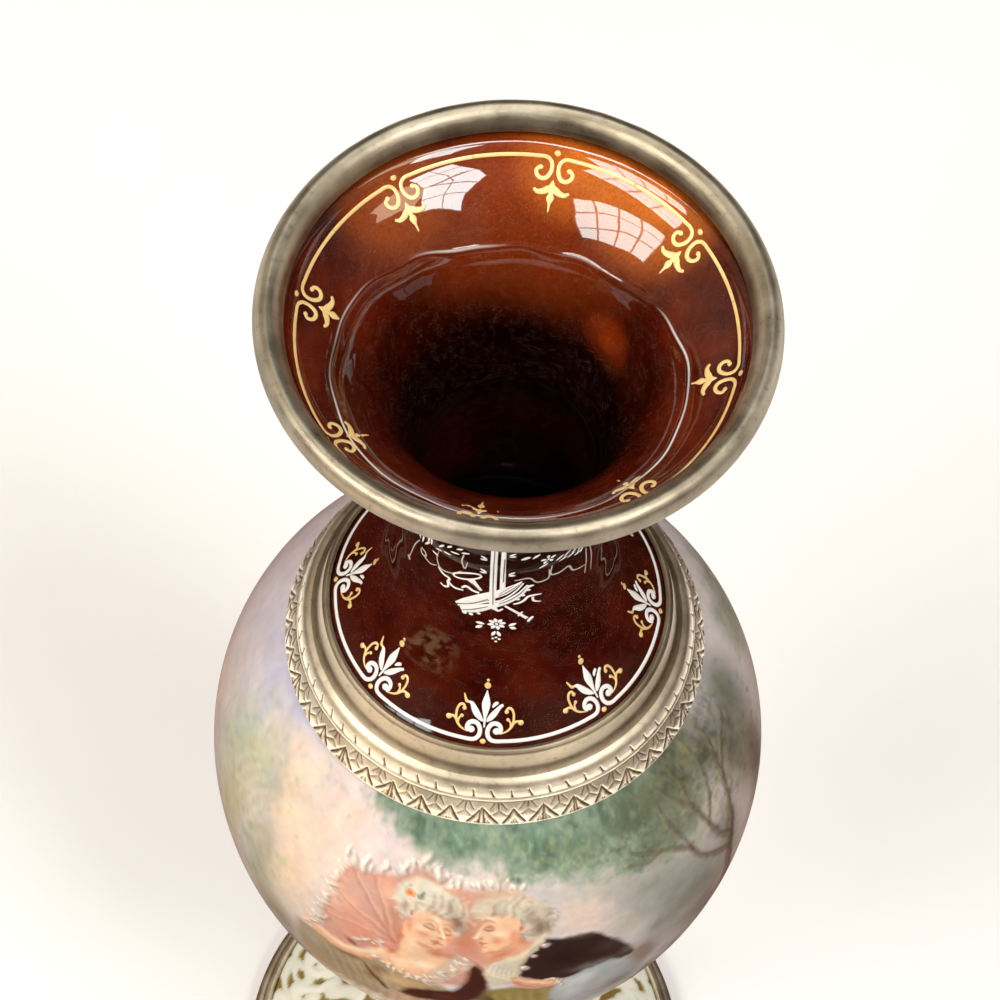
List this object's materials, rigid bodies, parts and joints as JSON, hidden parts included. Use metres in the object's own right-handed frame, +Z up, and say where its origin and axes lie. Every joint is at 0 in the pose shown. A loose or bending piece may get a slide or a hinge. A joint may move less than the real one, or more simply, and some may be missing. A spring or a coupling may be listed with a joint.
{
  "type": "enamel vase",
  "caption": "Tall baluster vase with a wide flared mouth, narrow neck, ovoid painted body and spreading foot, joined by metal mounts.",
  "frame": {"origin": "middle of the flat underside of the foot rim", "axes": "+Z up along the axis of the vase, -Y towards the front of the painted scene"},
  "size_m": [0.0894, 0.0894, 0.27],
  "materials": {
    "silver_gilt": "aged silver-gilt, worn and softly polished, engraved",
    "brown_enamel": "translucent red-brown vitreous enamel on copper, glossy, with gold and white enamel ornament",
    "painted_enamel": "painted vitreous enamel on copper, soft gloss",
    "foot_enamel": "cream relief enamel on a golden-brown ground"
  },
  "bodies": {
    "root": {"mouth_rim": "silver_gilt", "neck": "brown_enamel", "shoulder_collar": "silver_gilt", "body": "painted_enamel", "lower_mount": "silver_gilt", "foot": "foot_enamel", "foot_rim": "silver_gilt"}
  },
  "joints": []
}
